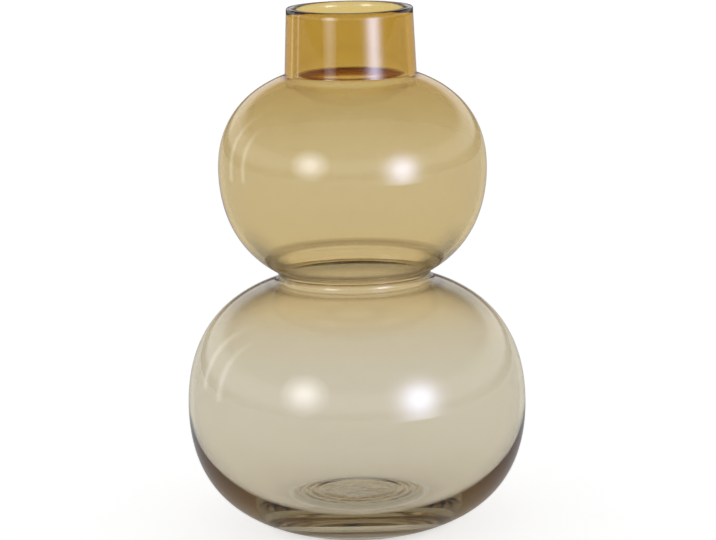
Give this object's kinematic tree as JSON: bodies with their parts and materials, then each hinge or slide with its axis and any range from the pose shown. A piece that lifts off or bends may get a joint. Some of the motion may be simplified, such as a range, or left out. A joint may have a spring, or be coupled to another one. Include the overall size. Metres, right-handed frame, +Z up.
{
  "type": "vase",
  "caption": "Blown-glass double-gourd vase: straight neck over a small round bulb, a pinched waist and a large bulb on a ground foot ring.",
  "frame": {"origin": "centre of the foot ring, on the plane that the vase stands on", "axes": "+Z up along the axis of the vase, from the foot ring to the mouth; the vase is round about it"},
  "size_m": [0.2, 0.2, 0.307],
  "materials": {
    "smoke_glass": "fire-polished clear smoke glass, ground and polished at the rim and the foot ring",
    "amber_glass": "fire-polished transparent amber glass that fades out below the waist"
  },
  "bodies": {
    "root": {"smoke_body": "smoke_glass", "amber_lining": "amber_glass"}
  },
  "joints": []
}
